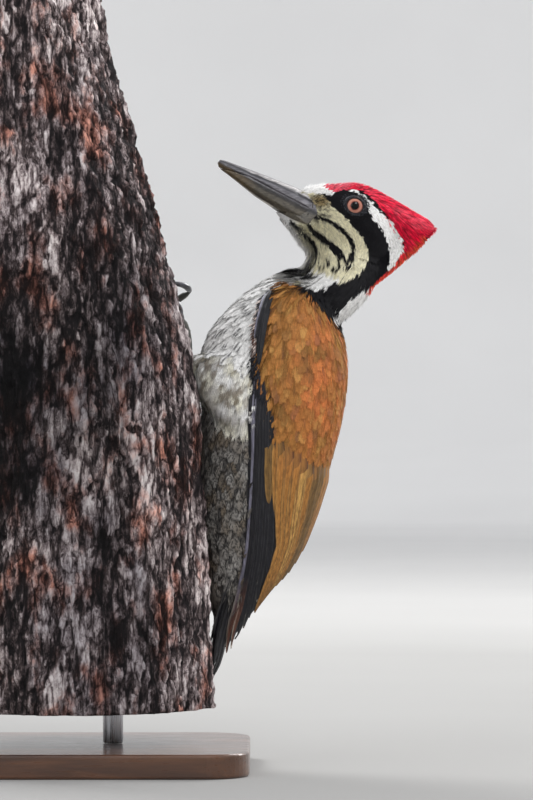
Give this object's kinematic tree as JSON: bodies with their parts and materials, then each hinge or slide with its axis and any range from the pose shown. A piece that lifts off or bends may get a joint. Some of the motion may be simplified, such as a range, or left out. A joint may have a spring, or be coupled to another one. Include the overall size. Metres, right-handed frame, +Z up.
{
  "type": "greater flameback woodpecker model on a trunk perch",
  "caption": "Life-size crested woodpecker with a long bill, closed wings and stiff tail, clinging upright to a cut length of bark-covered trunk held by rods on a flat display base.",
  "frame": {"origin": "middle of the stand base's underside, on the floor", "axes": "+Z up; the bird clings to the +X side of the trunk and faces -X, with its left side towards -Y"},
  "size_m": [0.303, 0.148, 0.382],
  "materials": {
    "stand_wood": "dark satin varnish",
    "rod_steel": "fine brushed",
    "bark": "rough flaking bark, dark brown with rust and grey plates, pale sawn ends",
    "face_plumage": "short lying feathers, cream with black stripes",
    "crest_plumage": "silky crimson feathers",
    "bill_horn": "grey-black horn, satin",
    "eye_glass": "glossy, salmon iris round a black pupil",
    "neck_plumage": "short feathers, black with white tufts behind",
    "body_plumage": "soft feathers, white scaled with black",
    "wing_plumage": "smooth vanes, golden olive brown with black flight feathers",
    "tail_plumage": "stiff black vanes",
    "toe_skin": "scaly grey skin",
    "claw_horn": "dark polished horn"
  },
  "bodies": {
    "root": {"stand_base": "stand_wood", "stand_rod_1": "rod_steel", "stand_rod_2": "rod_steel", "perch_log": "bark", "head": "face_plumage", "crest": "crest_plumage", "bill_upper": "bill_horn", "bill_lower": "bill_horn", "eye_left": "eye_glass", "eye_right": "eye_glass", "neck": "neck_plumage", "body": "body_plumage", "wing_left": "wing_plumage", "wing_right": "wing_plumage", "tail": "tail_plumage", "leg_left": "body_plumage", "leg_right": "body_plumage", "foot_left": "toe_skin", "foot_right": "toe_skin", "claw_left_1": "claw_horn", "claw_left_2": "claw_horn", "claw_left_3": "claw_horn", "claw_left_4": "claw_horn", "claw_right_1": "claw_horn", "claw_right_2": "claw_horn", "claw_right_3": "claw_horn", "claw_right_4": "claw_horn"}
  },
  "joints": []
}
